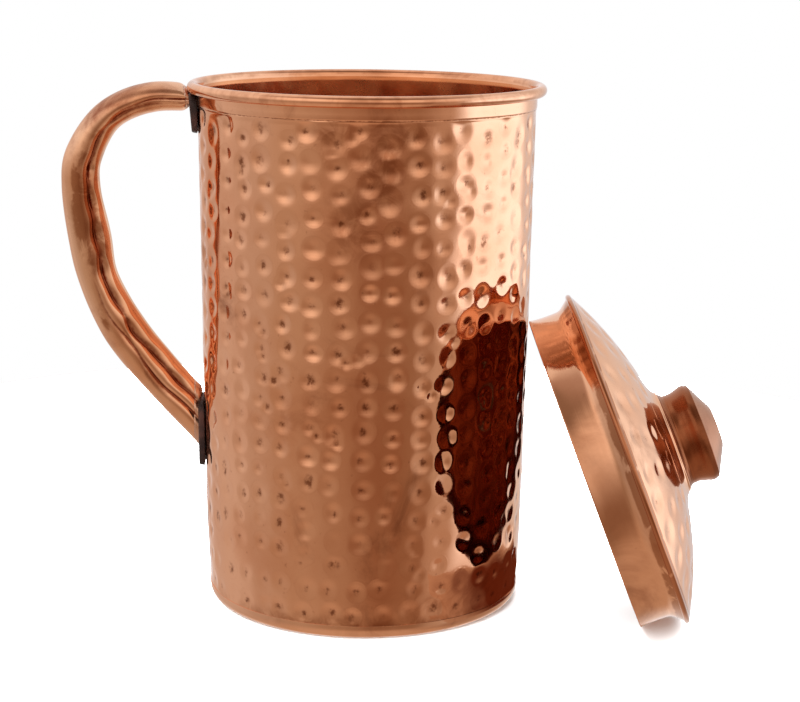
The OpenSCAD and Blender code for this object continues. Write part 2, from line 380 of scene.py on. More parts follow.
def stored_wear_and_shade(nodes, links):
    """Sockets with the residue, the tarnish cloud with painted shade, and the nearness of a dent stored on
    the mesh, else 0.
    """
    stored = nodes.new("ShaderNodeAttribute")
    stored.attribute_name = "wear_and_shade"
    split = nodes.new("ShaderNodeSeparateXYZ")
    links.new(stored.outputs["Vector"], split.inputs[0])
    return split.outputs["X"], split.outputs["Y"], split.outputs["Z"]


def dent_lip(nodes, links, place, near):
    """Broken line along the rims of the dents: 1 on a rim, 0 a little inside or outside it."""
    reached = remap(nodes, links, near, 0.84, 1.0, 0, 1)
    passed = remap(nodes, links, near, 1.0, 1.16, 0, 1)
    broken = remap(nodes, links, noise(nodes, links, place, 170, 2), 0.42, 0.62, 0, 1)
    return times(nodes, links, add(nodes, links, reached, passed, "SUBTRACT"), broken)


def set_bump(nodes, links, shader, height, strength, distance):
    """Bump on a shader from a height socket."""
    bump = nodes.new("ShaderNodeBump")
    bump.inputs["Strength"].default_value = strength
    bump.inputs["Distance"].default_value = distance
    links.new(height, bump.inputs["Height"])
    links.new(bump.outputs["Normal"], shader.inputs["Normal"])


def copper(name, fresh, worn, stain, stain_amount, smooth, rough, lathe=0.0, grain=0.2, ragged=0.35):
    """Polished copper: cloudy colour, brown stains, tarnish together with painted shade from the stored
    cloud, a thin painted shade line along dent rims, uneven gloss, fine scratches, lathe lines if turned.
    """
    tarnish_shade_tone = (0.5 * worn[0], 0.36 * worn[1], 0.27 * worn[2])
    material, nodes, links = shader_nodes(name)
    shader = nodes["Principled BSDF"]
    place = nodes.new("ShaderNodeTexCoord").outputs["Object"]
    left, cloud_and_shade, near = stored_wear_and_shade(nodes, links)

    fading = remap(nodes, links, noise(nodes, links, place, 26, 5), 0.38, 0.66, 0, 1)
    colour = blend_colour(nodes, links, fading, fresh, worn)
    stained = remap(nodes, links, noise(nodes, links, place, 17, 6, 0.62, 1.2), 0.54, 0.76, 0, stain_amount)
    colour = blend_colour(nodes, links, stained, colour, stain)
    freckles = remap(nodes, links, noise(nodes, links, place, 420, 3), 0.66, 0.8, 0, 0.35)
    colour = blend_colour(nodes, links, freckles, colour, stain)
    lip = dent_lip(nodes, links, place, near)
    # Thin darker line along the dent rims: painted shade of their raised lips.
    colour = blend_colour(nodes, links, times(nodes, links, lip, 0.06), colour, tarnish_shade_tone)
    mottle = remap(nodes, links, noise(nodes, links, place, 130, 5, 0.6, 0.8), 0.3, 0.66, 0.15, 1.7)
    # The stored cloud blends towards dark brown: tarnish, and painted shade where it is set on the lid's hem
    # and the skirt's top.
    tarnish_and_shade = remap(nodes, links, times(nodes, links, mottle, cloud_and_shade), 0.05, 0.9, 0, 0.85)
    colour = blend_colour(nodes, links, tarnish_and_shade, colour, tarnish_shade_tone)
    crumbs = remap(nodes, links, noise(nodes, links, place, 620, 4, 0.7), 0.3, 0.7, ragged, 1.5)
    residue = remap(nodes, links, times(nodes, links, crumbs, left), 0.1, 1.0, 0, 0.85)
    colour = blend_colour(nodes, links, residue, colour, stain)
    links.new(colour, shader.inputs["Base Color"])

    shader.inputs["Metallic"].default_value = 1.0
    shader.inputs["Specular Tint"].default_value = (1.0, 0.9, 0.82, 1)
    gloss = remap(nodes, links, noise(nodes, links, place, 60, 4, 0.6, 0.6), 0.35, 0.7, smooth, rough)
    gloss = add(nodes, links, gloss, times(nodes, links, stained, 0.16))
    gloss = add(nodes, links, gloss, times(nodes, links, residue, 0.12))
    links.new(gloss, shader.inputs["Roughness"])

    height = times(nodes, links, noise(nodes, links, place, 900, 2), grain)
    height = add(nodes, links, height, times(nodes, links, lip, 0.7))
    if lathe > 0:
        surface = nodes.new("ShaderNodeAttribute")
        surface.attribute_name = "lathe"
        lines = noise(nodes, links, stretched(nodes, links, surface.outputs["Vector"], (2600, 18, 1)), 1, 2)
        height = add(nodes, links, height, times(nodes, links, lines, lathe))
    set_bump(nodes, links, shader, height, 0.35, 0.05 * MM)
    return material


def dark_oxide():
    """Nearly black, nearly matt metal: painted shade of the saddle plates."""
    material, nodes, links = shader_nodes("dark_oxide")
    shader = nodes["Principled BSDF"]
    place = nodes.new("ShaderNodeTexCoord").outputs["Object"]
    patches = noise(nodes, links, place, 160, 5)
    colour = blend_colour(nodes, links, remap(nodes, links, patches, 0.35, 0.75, 0, 1),
                          (0.012, 0.005, 0.004), (0.05, 0.014, 0.008))
    links.new(colour, shader.inputs["Base Color"])
    shader.inputs["Metallic"].default_value = 0.6
    links.new(remap(nodes, links, patches, 0.3, 0.8, 0.42, 0.62), shader.inputs["Roughness"])
    set_bump(nodes, links, shader, noise(nodes, links, place, 700, 4), 0.4, 0.1 * MM)
    return material


HAMMERED = copper("hammered_copper", (0.88, 0.47, 0.29), (0.78, 0.37, 0.21), (0.21, 0.058, 0.02), 0.75,
                  0.05, 0.12)
SPUN = copper("spun_copper", (0.84, 0.47, 0.30), (0.72, 0.37, 0.22), (0.28, 0.09, 0.04), 0.6,
              0.06, 0.17, lathe=0.8)
FOLDED = copper("folded_copper", (0.88, 0.52, 0.34), (0.74, 0.37, 0.21), (0.24, 0.045, 0.015), 0.9,
                0.12, 0.26, grain=0.35, ragged=0.85)
# Darkened copies of the spun copper for the knob's side and its cap: painted shade.
SHADED_KNOB = copper("shaded_knob_copper", (0.34, 0.11, 0.048), (0.18, 0.053, 0.021), (0.12, 0.035, 0.015), 0.85,
              0.14, 0.28, lathe=0.8)
SHADED_CAP = copper("shaded_cap_copper", (0.48, 0.205, 0.115), (0.35, 0.135, 0.075), (0.22, 0.07, 0.03), 0.6,
             0.12, 0.24, lathe=0.8)
# Deeper, redder copy of the hammered copper for the inside of the jug: painted shade inside the mouth.
SHADED_INNER = copper("shaded_inner_copper", (0.74, 0.29, 0.13), (0.58, 0.20, 0.08), (0.26, 0.08, 0.03), 0.5,
               0.18, 0.3)
# Darkened copy of the copper for the inside of the lid and skirt: painted shade inside the lid.
SHADED_UNDERSIDE = copper("shaded_underside_copper", (0.32, 0.075, 0.028), (0.19, 0.04, 0.014), (0.16, 0.04, 0.015), 0.6,
                   0.2, 0.32)
BRAZE = copper("braze", (0.74, 0.46, 0.34), (0.60, 0.33, 0.22), (0.14, 0.05, 0.03), 0.7,
               0.25, 0.42, grain=0.6)
STEEL = copper("steel", (0.22, 0.16, 0.13), (0.15, 0.10, 0.08), (0.10, 0.06, 0.04), 0.7,
               0.34, 0.5, grain=0.4)
SHADED_PLATE = dark_oxide()


# ---- the jug

WALL_COLUMNS = 400
INSIDE_ROWS = 36
INSIDE_PUSH = 0.5 * MM
LAP_Z = FOOT_Z + 6 * MM
SCRIBE_HALF = 0.5 * MM
SCRIBE_DEEP = 0.22 * MM
OUTSIDE_ROWS = 176
FOOT_FADE = 2.2 * MM
DEEPEST = 1.1 * MM
DEEPEST_AT_LAP = 0.55 * MM
CURL_END = -112
BEAD_CLOUD = 0.28
# Brown clouds on the wall: degrees round from the right side, then height, half width and half height in mm,
# and strength
CLOUDS = [(-84, 158, 9, 20, 0.5), (-92, 140, 12, 14, 0.4), (-76, 168, 12, 6, 0.4), (-100, 168, 8, 5, 0.45),
          (-90, 3, 80, 5, 0.55), (-60, 12, 26, 7, 0.35), (-112, 75, 16, 12, 0.25), (30, 120, 22, 30, 0.4),
          (110, 60, 26, 22, 0.4), (70, 168, 30, 6, 0.4)]


def hammered_share(z):
    """1 where the wall is hammered, fading to 0 at the scribed line."""
    return np.clip((SCRIBE_Z - z) / (0.8 * MM), 0, 1)


def hammered_depth(theta, z, dents):
    """How far the hammered wall lies inside its smooth outline."""
    depth = np.zeros((len(z), len(theta)))
    stamp_dents(depth, theta, z, MOUTH_R, dents)
    depth *= np.clip((z - FOOT_Z) / FOOT_FADE, 0, 1)[:, None]
    depth += (0.2 * MM - waviness(theta, z, 0.13 * MM, 3)).clip(0) * 0.6
    return depth * hammered_share(z)[:, None]


def wall_heights():
    """Heights of the wall's rows: outside from foot to bead, closer at the scribed line, and inside down."""
    edge = 0.05 * MM
    scribed = SCRIBE_Z + SCRIBE_HALF * np.array([-1.2, -0.7, -0.3, 0, 0.3, 0.7, 1.2])
    hammered = np.linspace(FOOT_Z + 1 * MM, SCRIBE_Z - 2 * SCRIBE_HALF, OUTSIDE_ROWS)
    outer = np.concatenate([[FOOT_Z, FOOT_Z + edge], hammered, scribed, [SCRIBE_Z + 2 * MM, BEAD_Z]])
    under_bead = BEAD_Z - MM * np.array([0, 0.5, 1, 1.5, 2, 3])
    below = np.linspace(BEAD_Z - 5 * MM, FOOT_Z + 1 * MM, INSIDE_ROWS - 8)
    inner = np.concatenate([under_bead, below, [FOOT_Z + edge, FOOT_Z]])
    return outer, inner


def wall_clouds(theta, height):
    """Strength of the brown clouds over a grid of angle and height."""
    clouds = np.zeros((len(height), len(theta)))
    for turn, at, wide, tall, strength in CLOUDS:
        gap = turn_gap(theta, math.radians(turn))
        u = gap[None, :] * MOUTH_R / (wide * MM)
        v = (height[:, None] - at * MM) / (tall * MM)
        clouds = np.maximum(clouds, strength * np.exp(-(u ** 2 + v ** 2)))
    return clouds


def build_wall():
    """The hammered sheet: outside, curl round the rim wire, inside."""
    outer_z, inner_z = wall_heights()
    outside = [(wall_radius(z), z) for z in outer_z]
    inner_curl = arc((BEAD_X, BEAD_Z), BEAD_R - SHEET, 172, CURL_END, 7)
    outer_curl = arc((BEAD_X, BEAD_Z), BEAD_R, CURL_END, 172, 18)
    inside = [(wall_radius(z) - SHEET, z) for z in inner_z]
    dents = wall_dents()
    scribe = np.exp(-((outer_z - SCRIBE_Z) / (0.5 * SCRIBE_HALF)) ** 2)[:, None]

    def push(theta, points):
        dr = np.zeros((len(points), len(theta)))
        deepest = np.where(outer_z < LAP_Z + 5 * MM, DEEPEST_AT_LAP, DEEPEST)[:, None]
        depth = np.minimum(hammered_depth(theta, outer_z, dents), deepest)
        dr[:len(outer_z)] = -depth - SCRIBE_DEEP * scribe
        below_bead = np.clip((BEAD_Z - inner_z) / (1.5 * MM), 0, 1)
        above_lap = np.clip((inner_z - LAP_Z - 1 * MM) / (4 * MM), 0, 1)
        swell = waviness(theta, inner_z, 0.08 * MM, 5).clip(-0.15 * MM, 0.15 * MM)
        dr[-INSIDE_ROWS:] = -(INSIDE_PUSH + swell) * (below_bead * above_lap)[:, None]
        return dr, np.zeros_like(dr)

    section = outside + inner_curl + outer_curl + inside
    first_inside = len(section) - len(inside)
    # Painted shade: the inside rows get the deeper copper.
    wall = revolve("hammered_wall", section, WALL_COLUMNS, HAMMERED, push, SHADED_INNER,
                   range(first_inside + 1, len(section) - 1))
    theta = np.linspace(0, 2 * math.pi, WALL_COLUMNS, endpoint=False)
    clouds = np.full((first_inside, WALL_COLUMNS), BEAD_CLOUD)
    clouds[:len(outer_z)] = wall_clouds(theta, outer_z)
    residue = dent_residue(theta, outer_z, MOUTH_R, dents)
    near = dent_nearness(theta, outer_z, MOUTH_R, dents) * hammered_share(outer_z)[:, None]
    add_wear_and_shade(wall, np.maximum(residue, 0.7 * scribe), clouds, near)
    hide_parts("jug_wall")
    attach(wall, "jug")


def build_pan():
    """Base pan: nearly flat underside, rounded corner, collar inside the wall."""
    corner = 4 * MM
    gap = 0.02 * MM
    pan_r = float(wall_radius(FOOT_Z))
    lap_low = pan_r - SHEET - gap
    lap_high = float(wall_radius(LAP_Z)) - SHEET - gap
    edge = 0.05 * MM
    under = line((0.3 * MM, 0), (pan_r - corner, 0), 24)
    outer_corner = arc((pan_r - corner, corner), corner, -90, 0, 14)
    shelf = [(pan_r, FOOT_Z - gap - edge), (pan_r, FOOT_Z - gap), (pan_r - edge, FOOT_Z - gap),
             (lap_low, FOOT_Z - gap)]
    collar = [(lap_high, LAP_Z), (lap_high - SHEET, LAP_Z), (lap_low - SHEET, FOOT_Z)]
    inner_corner = arc((pan_r - corner, corner), corner - SHEET, 0, -90, 10)
    floor_inside = line((pan_r - corner, SHEET), (0.3 * MM, SHEET), 24)[1:] + [(0.3 * MM, SHEET)]

    def push(theta, points):
        z = points[:, 1]
        hollow = 0.35 * MM * np.clip(1 - points[:, 0] / (pan_r - 1.6 * corner), 0, 1) ** 0.6
        planish = waviness(theta, points[:, 0], 0.04 * MM, 11).clip(0)
        lift = np.where((z < FOOT_Z - 0.3 * MM) & (points[:, 0] < pan_r - corner), 1.0, 0.0)
        return np.zeros_like(planish), (hollow[:, None] + planish) * lift[:, None]

    pan = revolve("base_pan_sheet", under + outer_corner + shelf + collar + inner_corner + floor_inside,
                  180, SPUN, push)
    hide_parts("base_pan")
    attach(pan, "jug")


# ---- saddles

SADDLE_W = 22 * MM
SADDLE_CORNER = 5 * MM


def saddle_facts(node):
    """Bottom, top and the plate's thickness at each, from the CAD node."""
    points = node_points(node)
    low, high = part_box(node)
    height = high.z - low.z

    def thickness(share):
        z = low.z + share * height
        near = points[np.abs(points[:, 2] - z) < 0.2 * height]
        rise = np.hypot(near[:, 0], near[:, 1]) - wall_radius(near[:, 2])
        return float(rise.max())

    return low.z, high.z, thickness(0.1), thickness(0.9)


UPPER_SADDLE = saddle_facts("upper_saddle")
LOWER_SADDLE = saddle_facts("lower_saddle")


def rounded_outline(width, bottom, top, corner, count):
    """Points round an upright rectangle with rounded corners, evenly spaced."""
    half = width / 2
    knots = []
    for x, z, start in ((half - corner, top - corner, 0), (-half + corner, top - corner, 90),
                        (-half + corner, bottom + corner, 180), (half - corner, bottom + corner, 270)):
        knots += arc((x, z), corner, start, start + 90, 12)
    knots = np.array(knots + knots[:1])
    along = section_lengths(knots)
    places = np.linspace(0, along[-1], count, endpoint=False)
    return np.stack([np.interp(places, along, knots[:, 0]), np.interp(places, along, knots[:, 1])], -1)


def build_saddle(name, node, facts):
    """A forged plate that hugs the wall, its edges rounded over."""
    bottom, top, thin, thick = facts
    outline = rounded_outline(SADDLE_W, bottom, top, SADDLE_CORNER, 96)
    middle = np.array([0, (bottom + top) / 2])
    rounding = 0.9 * MM
    edge_lift = 0.3 * MM
    back_lift = np.full(len(outline), 0.02 * MM)
    innermost = 0.04
    inner_rings = np.linspace(innermost, 0.86, 9)
    edge_rings = 1 - 0.14 * np.cos(np.radians(np.linspace(6, 90, 9)))
    rings = []
    for share in np.concatenate([inner_rings, edge_rings]):
        flat = middle + (outline - middle) * share
        inset = np.linalg.norm(outline - flat, axis=1).clip(0, rounding) / rounding
        body = thin + (thick - thin) * ((flat[:, 1] - bottom) / (top - bottom)).clip(0, 1)
        rings.append((flat, edge_lift + (body - edge_lift) * np.sqrt(1 - (1 - inset) ** 2)))
    rings.append((outline, back_lift))
    rings.append((middle + (outline - middle) * innermost, back_lift))
    points = []
    for flat, lift in rings:
        r = wall_radius(flat[:, 1]) + lift
        angle = math.pi + flat[:, 0] / MOUTH_R
        points.append(np.stack([r * np.cos(angle), r * np.sin(angle), flat[:, 1]], -1))
    count = len(outline)
    plate = new_object(name, np.concatenate(points), grid_faces(len(rings), count, True, True), SHADED_PLATE)
    along = np.repeat(np.arange(len(rings)) * MM, count)
    add_lathe_attribute(plate, along, along)
    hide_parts(node)
    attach(plate, "jug")


# ---- handle

# Centre line: out from the wall, down from the rim, width in its plane, width across it, in mm
HANDLE_KNOTS = [
    [-4, 6.4, 8.8, 16],
    [15, 6.0, 10.2, 15.2],
    [30, 12.3, 10.7, 14.4],
    [38.7, 25.4, 12.6, 13.4],
    [40.1, 37, 13.25, 13],
    [37.5, 54, 14.8, 12.4],
    [34.6, 69, 13.9, 12.4],
    [26, 86.5, 15.5, 12.2],
    [13.8, 102, 15.2, 12.4],
    [-6, 124, 14.4, 13],
]
# Creases of the folded tube: share of its length, degrees round from the outer side, depth in mm
MAIN_FOLD = [(0.0, 112, 0.3), (0.12, 112, 0.5), (0.22, 118, 1.0), (0.34, 128, 2.0), (0.46, 124, 2.3),
             (0.53, 118, 1.9), (0.64, 118, 1.7), (0.8, 124, 1.9), (1.0, 132, 2.1)]
LOWER_FOLD = [(0.0, 70, 0.0), (0.56, 84, 0.0), (0.66, 84, 0.7), (0.85, 84, 1.5), (1.0, 88, 1.9)]
UPPER_SEAM = [(0.0, 88, 1.5), (0.06, 92, 1.1), (0.16, 104, 0.4), (0.22, 110, 0.0), (1.0, 150, 0.0)]
BACK_SEAM = [(0.0, -105, 0.5), (0.3, -122, 0.6), (0.6, -118, 0.7), (1.0, -108, 1.0)]
# Each crease with its seed, its width and the width of its stain in degrees, and how dark the stain is
FOLDS = [(MAIN_FOLD, 51, 12, 9, 1.0), (LOWER_FOLD, 52, 8, 5, 1.1), (UPPER_SEAM, 53, 7, 5, 0.9),
         (BACK_SEAM, 54, 9, 6, 0.7)]
FOLD_SWAY = 1.8       # degrees that a crease wanders to either side
FOLD_UNEVEN = 0.14    # share by which its depth varies
# Brown patches on the handle: share of its length, degrees, half length as a share, half width, strength
HANDLE_CLOUDS = [(0.46, 104, 0.07, 30, 3.0), (0.38, 84, 0.08, 13, 1.5), (0.66, 60, 0.025, 10, 1.1),
                 (0.82, 74, 0.03, 12, 1.3), (0.3, 100, 0.06, 8, 0.6), (0.5, -70, 0.2, 30, 0.8)]
HANDLE_SIDES = 160
HANDLE_RINGS = 260
TUBE_R = 7 * MM
END_SINK = 0.45 * MM  # how far the tube's ends reach into the plates
PINCH_REACH = 1.9 * MM
BRAZE_RINGS = 4


def saddle_face_r(z):
    """Distance from the jug's axis to the outer face of the bead or of a saddle plate, at height z."""
    bead = BEAD_X + np.sqrt(np.clip(BEAD_R ** 2 - (z - BEAD_Z) ** 2, 0, None))
    bead = np.where(np.abs(z - BEAD_Z) < BEAD_R, bead, 0)
    plates = np.zeros_like(z)
    for bottom, top, thin, thick in (UPPER_SADDLE, LOWER_SADDLE):
        body = thin + (thick - thin) * ((z - bottom) / (top - bottom)).clip(0, 1)
        beside = (z > bottom - 4 * MM) & (z < top + 4 * MM)
        plates = np.where(beside, np.maximum(plates, wall_radius(z) + body), plates)
    return np.maximum(bead, plates)


def fold_line(t, fold, seed):
    """Angle in degrees and depth in mm of one crease at shares t of the handle, with some unevenness."""
    local = np.random.default_rng(seed)
    table = np.array(fold, float)
    sway = sum(np.sin(local.uniform(8, 60) * t + local.uniform(0, 6.3)) for _ in range(5))
    pinch = sum(np.sin(local.uniform(15, 90) * t + local.uniform(0, 6.3)) for _ in range(5))
    return (np.interp(t, table[:, 0], table[:, 1]) + FOLD_SWAY * sway,
            np.interp(t, table[:, 0], table[:, 2]) * (1 + FOLD_UNEVEN * pinch))


def fold_depth(phi, line, width):
    """Depth in metres of one crease, along the handle and over angles phi in degrees."""
    centre, depth = line
    gap = np.abs((phi[None, :] - centre[:, None] + 180) % 360 - 180)
    sharp = np.exp(-gap / (0.5 * width))
    broad = np.exp(-(gap / (1.5 * width)) ** 2)
    return depth[:, None] * MM * (0.55 * sharp + 0.45 * broad)


def rubbed(t, phi):
    """Slight flats rubbed into the tube by hand, over a grid of shares t and angles phi in degrees."""
    local = np.random.default_rng(21)
    rub = np.zeros((len(t), len(phi)))
    for _ in range(18):
        rub += np.cos(local.integers(1, 6) * np.radians(phi)[None, :] + local.uniform(-90, 90) * t[:, None]
                      + local.uniform(0, 6.3))
    return 0.05 * MM * (rub / 4).clip(0)


def handle_surface(phi):
    """The creased tube along its centre line: points, each row's share of the length, and the length."""
    knots = smooth_curve(HANDLE_KNOTS, 60)
    centre = np.stack([-MOUTH_R - knots[:, 0] * MM, JUG_H - knots[:, 1] * MM], -1)
    run = np.gradient(centre, axis=0)
    run /= np.linalg.norm(run, axis=1)[:, None]
    along = section_lengths(centre)
    t = along / along[-1]
    sink = sum(fold_depth(phi, fold_line(t, fold, seed), width) for fold, seed, width, _, _ in FOLDS)
    sink = sink + rubbed(t, phi)
    in_plane = knots[:, 2:3] * MM / 2
    across = knots[:, 3:4] * MM / 2
    c = np.cos(np.radians(phi))[None, :]
    s = np.sin(np.radians(phi))[None, :]
    shrink = 1 - sink / np.sqrt((in_plane * c) ** 2 + (across * s) ** 2)
    x = centre[:, :1] + run[:, 1:] * in_plane * c * shrink
    z = centre[:, 1:] - run[:, :1] * in_plane * c * shrink
    return np.stack([x, -across * s * shrink, z], -1), t, along[-1]


def cut_at_saddles(surface, t):
    """The tube between the faces of the saddles, in even rings, and each point's share of the length."""
    outside = np.hypot(surface[..., 0], surface[..., 1]) - saddle_face_r(surface[..., 2]) + END_SINK
    share = np.linspace(0, 1, HANDLE_RINGS)
    grid = np.zeros((HANDLE_RINGS, HANDLE_SIDES, 3))
    place = np.zeros((HANDLE_RINGS, HANDLE_SIDES))
    rows = np.arange(len(t))
    half = len(t) // 2
    for j in range(HANDLE_SIDES):
        first = np.nonzero(outside[:half, j] < 0)[0].max()
        last = half + np.nonzero(outside[half:, j] < 0)[0].min()
        picks = first + (last - first) * share
        for axis in range(3):
            grid[:, j, axis] = np.interp(picks, rows, surface[:, j, axis])
        place[:, j] = np.interp(picks, rows, t)
    return grid, place


def pinch_upper_end(grid):
    """Squeezes the tube's upper end to half its height where it meets the bead."""
    from_wall = np.linalg.norm(grid.mean(1) - grid[0].mean(0), axis=1)
    pinch = 1 - 0.5 * np.exp(-(from_wall / PINCH_REACH) ** 2)
    middle = grid[:, :, 2].mean(1)[:, None]
    grid[:, :, 2] = middle + (grid[:, :, 2] - middle) * pinch[:, None]


def build_handle():
    """Tube folded from sheet, with its long creases, ending on the faces of the saddles."""
    phi = np.linspace(-180, 180, HANDLE_SIDES, endpoint=False)
    surface, t, length = handle_surface(phi)
    grid, place = cut_at_saddles(surface, t)
    pinch_upper_end(grid)
    points = np.concatenate([grid.reshape(-1, 3), [grid[0].mean(0), grid[-1].mean(0)]])
    faces = list(grid_faces(HANDLE_RINGS, HANDLE_SIDES, False, True))
    upper = HANDLE_RINGS * HANDLE_SIDES
    low_ring = upper - HANDLE_SIDES
    turns = [(j, (j + 1) % HANDLE_SIDES) for j in range(HANDLE_SIDES)]
    faces += [(upper, after, j) for j, after in turns]
    faces += [(upper + 1, low_ring + j, low_ring + after) for j, after in turns]
    handle = new_object("folded_handle", points, faces, FOLDED)
    add_lathe_attribute(handle, np.append(place.ravel() * length, [0, length]),
                        np.append(np.tile(np.radians(phi) * TUBE_R, HANDLE_RINGS), [0, 0]))
    add_fold_stain(handle, place, phi)
    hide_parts("handle_tube")
    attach(handle, "jug")
    build_handle_braze("upper_braze_run", "upper_handle_braze", grid[:BRAZE_RINGS])
    build_handle_braze("lower_braze_run", "lower_handle_braze", grid[:-BRAZE_RINGS - 1:-1])


def build_handle_braze(name, node, ends):
    """Thin run of braze round one end of the handle; ends holds its last rings, the outermost first."""
    out = ends - ends.mean(1)[:, None]
    out /= np.linalg.norm(out, axis=2)[..., None]
    rise = 0.4 * MM * np.linspace(1, 0, len(ends)) ** 2
    over = ends + out * rise[:, None, None]
    under = (ends - out * 0.2 * MM)[::-1]
    points = np.concatenate([over, under]).reshape(-1, 3)
    braze = new_object(name, points, grid_faces(2 * len(ends), ends.shape[1], True, True), BRAZE)
    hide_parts(node)
    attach(braze, "jug")


def add_fold_stain(handle, place, phi):
    """Stores how much dark polish residue has gathered in and beside the creases."""
    stain = np.zeros(place.shape)
    for fold, seed, _, width, strength in FOLDS:
        centre, depth = fold_line(place, fold, seed)
        gap = np.abs((phi[None, :] - centre + 180) % 360 - 180)
        stain = np.maximum(stain, strength * depth.clip(0, 1) * np.exp(-(gap / width) ** 2))
    cloud_and_shade = np.zeros(place.shape)
    for share, turn, long, wide, strength in HANDLE_CLOUDS:
        spot = np.exp(-((place - share) / long) ** 2) * np.exp(-((phi[None, :] - turn) / wide) ** 2)
        cloud_and_shade = np.maximum(cloud_and_shade, strength * spot)
    add_wear_and_shade(handle, stain, cloud_and_shade, np.zeros(1))


# ---- lid and knob

SKIRT_R = 54.4 * MM
FLANGE_Z = 10.7 * MM
HEM_X = 57.8 * MM
HEM_Z = 15.2 * MM
HEM_R = 0.94 * MM
DOME_R = 119 * MM
DOME_Z = HEM_Z + HEM_R - math.sqrt(DOME_R ** 2 - HEM_X ** 2)
CROWN_Z = 31.9 * MM
BOSS_R = 17.1 * MM
BOSS_FOOT_R = 23.5 * MM
KNOB_TOP_Z = 47.2 * MM
KNOB_SHOULDER_Z = 42.3 * MM
KNOB_R = 16.8 * MM
KNOB_SHEET = 1.0 * MM
RIVET_R = 2.0 * MM
DOME_COLUMNS = 300
SKIRT_COLUMNS = 288
KNOB_COLUMNS = 240


def on_lid(piece, node):
    """Moves a piece from the lid's own frame to its place and ties it to its CAD node and body."""
    piece.data.transform(LID)
    piece.data.update()
    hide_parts(node)
    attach(piece, "lid")


def dome_dents():
    """Dents in rings on the dome, wider and softer than the wall's."""
    found = []
    for ring_r, count in ((27.5, 13), (35.5, 18), (43.6, 24), (52.0, 29)):
        turn = rng.uniform(0, 1)
        for i in range(count):
            angle = 2 * math.pi * (i + turn + rng.normal(0, 0.07)) / count
            found.append((angle, (ring_r + rng.normal(0, 0.5)) * MM, rng.uniform(3.6, 4.7) * MM,
                          rng.uniform(0.34, 0.62) * MM, rng.uniform(0.05, 0.2), rng.uniform(0.9, 1.1), 0.0))
    return found


def dome_depth(theta, r, dents):
    """Depth of the dents on the dome over angle and distance from its axis, fading out before the hem."""
    depth = np.zeros((len(r), len(theta)))
    for angle, at, size, deep, tip, stretch, _ in dents:
        gap = turn_gap(theta, angle)
        u = gap[None, :] * r[:, None] / size
        v = (r[:, None] - at) / (size * stretch)
        depth = np.maximum(depth, deep * dent_shape(np.sqrt(u ** 2 + v ** 2), tip))
    return depth * np.clip((HEM_X - 1 * MM - r) / (2 * MM), 0, 1)[:, None]


def build_dome():
    """Dome with its dents, raised seat for the knob and edge folded round the flange."""
    seat_foot = DOME_Z + math.sqrt(DOME_R ** 2 - BOSS_FOOT_R ** 2)
    dome_r = np.linspace(BOSS_FOOT_R, HEM_X, 84)
    top = [(r, DOME_Z + math.sqrt(DOME_R ** 2 - r ** 2)) for r in dome_r]
    knots = [(RIVET_R, CROWN_Z), (BOSS_R * 0.6, CROWN_Z), (BOSS_R - 0.4 * MM, CROWN_Z),
             (BOSS_R + 0.9 * MM, CROWN_Z - 1.0 * MM), (BOSS_R + 3 * MM, CROWN_Z - 2.1 * MM),
             (BOSS_FOOT_R, seat_foot)]
    seat = [tuple(p) for p in smooth_curve(knots, 6)][:-1]
    hem = arc((HEM_X, HEM_Z), HEM_R, 84, -130, 18)
    hem_inside = arc((HEM_X, HEM_Z), HEM_R - LID_SHEET, -130, 84, 10)
    under = [(r, z - LID_SHEET) for r, z in reversed(top[:-1])][::2]
    seat_under = [(r, z - LID_SHEET) for r, z in reversed(seat)]
    section = seat + top + hem + hem_inside + under + seat_under
    first = len(seat)
    last = first + len(top)
    under_from = last + len(hem) + len(hem_inside)
    under_r = np.array([r for r, _ in under])
    dents = dome_dents()

    def push(theta, points):
        dz = np.zeros((len(points), len(theta)))
        dz[first:last] = -dome_depth(theta, dome_r, dents)
        dz[under_from:under_from + len(under)] = -dome_depth(theta, under_r, dents)
        return np.zeros_like(dz), dz

    # Painted shade: the dome's underside gets the darkened copper.
    dome = revolve("hammered_dome", section, DOME_COLUMNS, HAMMERED, push, SHADED_UNDERSIDE,
                   range(under_from, len(section) - 1))
    theta = np.linspace(0, 2 * math.pi, DOME_COLUMNS, endpoint=False)
    residue = np.zeros((last, DOME_COLUMNS))
    residue[first:] = 0.5 * dent_residue(theta, dome_r, dome_r, dents)
    cloud_and_shade = np.zeros((under_from, DOME_COLUMNS))
    # Painted dark reflection: the dome's last rows and its hem are darkened through the cloud.
    cloud_and_shade[last - 3:last] = 1.2
    cloud_and_shade[last:] = 3.0
    add_wear_and_shade(dome, residue, cloud_and_shade, np.zeros(1))
    on_lid(dome, "lid_dome")


